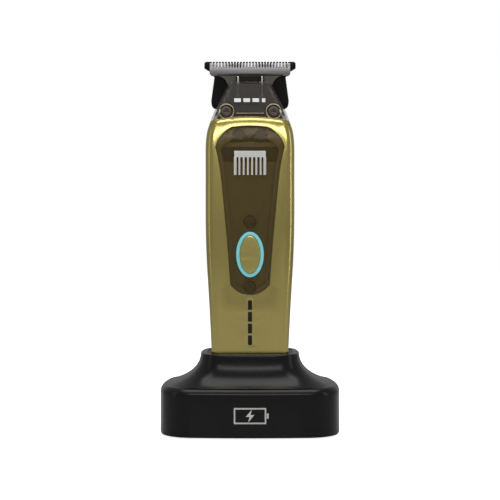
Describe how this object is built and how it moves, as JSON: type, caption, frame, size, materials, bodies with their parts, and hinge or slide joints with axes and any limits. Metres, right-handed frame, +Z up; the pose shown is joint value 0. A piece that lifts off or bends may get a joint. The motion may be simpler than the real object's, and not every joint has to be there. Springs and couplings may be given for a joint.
{
  "type": "beard trimmer with charging dock",
  "caption": "Upright cordless beard trimmer with a wide T-shaped cutting head, gold shells and smoked window, standing in a flared black charging dock",
  "frame": {"origin": "centre of the dock's footprint, at the underside of the rubber feet", "axes": "+Z up along the trimmer, -Y the front with the power button, +X to the right seen from the front"},
  "size_m": [0.0876, 0.0628, 0.182],
  "materials": {
    "dock_black": "polished black",
    "liner_black": "satin black",
    "base_black": "fine grain",
    "foot_rubber": "matte",
    "screw_steel": "satin",
    "board_green": "solder mask over fibreglass",
    "socket_steel": "stamped and plated",
    "contact_brass": "gold plated",
    "spring_steel": "drawn wire",
    "ballast_iron": "zinc coated",
    "gold_shell": "gold anodised, polished",
    "end_cap_black": "satin",
    "smoked_window": "smoked translucent",
    "smoked_neck": "smoked translucent",
    "bezel_brown": "satin",
    "chassis_black": "moulded",
    "light_pipe": "dark translucent",
    "led_white": "clear encapsulated",
    "ring_glow": "frosted light guide",
    "button_gold": "gold anodised, satin",
    "switch_black": "moulded",
    "battery_wrap": "shrink wrapped",
    "holder_grey": "moulded",
    "tab_nickel": "nickel strip",
    "motor_steel": "plated",
    "motor_cap_white": "nylon",
    "bush_bronze": "sintered",
    "shaft_steel": "ground",
    "cam_nylon": "nylon",
    "head_black": "glass-filled nylon",
    "neck_panel_grey": "satin charcoal",
    "washer_gold": "polished",
    "screw_black": "black oxide",
    "carrier_black": "acetal",
    "stem_bronze": "acetal",
    "window_screw_brown": "dark steel",
    "cutter_steel": "ground and polished",
    "blade_black": "black coated steel"
  },
  "bodies": {
    "dock": {"dock_shell": "dock_black", "dock_well_liner": "liner_black", "dock_base_plate": "base_black", "dock_rubber_feet": "foot_rubber", "dock_screws": "screw_steel", "dock_circuit_board": "board_green", "dock_board_screws": "screw_steel", "dock_power_socket": "socket_steel", "dock_pin_block": "base_black", "dock_ballast_weights": "ballast_iron", "pin_spring_left": "spring_steel", "pin_spring_right": "spring_steel"},
    "pin_left": {"contact_pin_left": "contact_brass"},
    "pin_right": {"contact_pin_right": "contact_brass"},
    "button": {"power_button": "button_gold", "switch_plunger": "switch_black"},
    "rotor": {"drive_shaft": "shaft_steel", "eccentric_cam": "cam_nylon", "cam_pin": "shaft_steel"},
    "cutter": {"cutter_carrier": "carrier_black", "cutter_stem": "stem_bronze", "moving_blade": "cutter_steel"},
    "trimmer": {"front_shell": "gold_shell", "rear_shell": "gold_shell", "rear_screws": "screw_black", "end_cap": "end_cap_black", "charge_contacts": "contact_brass", "charging_socket": "socket_steel", "window_panel": "smoked_window", "window_bezel": "bezel_brown", "window_screws": "window_screw_brown", "window_back_plate": "bezel_brown", "motor_band": "chassis_black", "indicator_light_pipes": "light_pipe", "indicator_leds": "led_white", "button_light_ring": "ring_glow", "switch_housing": "switch_black", "inner_chassis": "chassis_black", "main_circuit_board": "board_green", "battery_cell": "battery_wrap", "battery_holder": "holder_grey", "battery_tabs": "tab_nickel", "motor_can": "motor_steel", "motor_end_cap": "motor_cap_white", "motor_terminals": "contact_brass", "motor_mount": "chassis_black", "shaft_bush": "bush_bronze", "head_base": "head_black", "neck_cover": "smoked_neck", "neck_inner_panel": "neck_panel_grey", "neck_washers": "washer_gold", "neck_screws": "screw_black", "fixed_blade": "blade_black", "blade_screws": "screw_black", "tension_springs": "spring_steel"}
  },
  "joints": [
    {"name": "trimmer_lift", "type": "slide", "parent": "dock", "child": "trimmer", "axis": [0, 0, 1], "range_m": [0, 0.045]},
    {"name": "contact_pin_left", "type": "slide", "parent": "dock", "child": "pin_left", "axis": [0, 0, 1], "range_m": [-0.001, 0], "stiffness_N_per_m": 200, "springref_m": 0.0005, "deforming": ["pin_spring_left"]},
    {"name": "contact_pin_right", "type": "slide", "parent": "dock", "child": "pin_right", "axis": [0, 0, 1], "range_m": [-0.001, 0], "stiffness_N_per_m": 200, "springref_m": 0.0005, "deforming": ["pin_spring_right"]},
    {"name": "power_button_press", "type": "slide", "parent": "trimmer", "child": "button", "axis": [0, 1, 0], "range_m": [0, 0.0006], "stiffness_N_per_m": 300, "springref_m": -0.0005},
    {"name": "drive_turn", "type": "hinge", "parent": "trimmer", "child": "rotor", "pos_m": [0, -0.0015, 0.14], "axis": [0, 0, 1], "range_deg": [-90, 90]},
    {"name": "cutter_slide", "type": "slide", "parent": "trimmer", "child": "cutter", "axis": [1, 0, 0], "range_m": [-0.00075, 0.00075]}
  ],
  "couplings": [
    {"joint": "drive_turn", "follows": "cutter_slide", "rad_per_m": 2094.3}
  ]
}
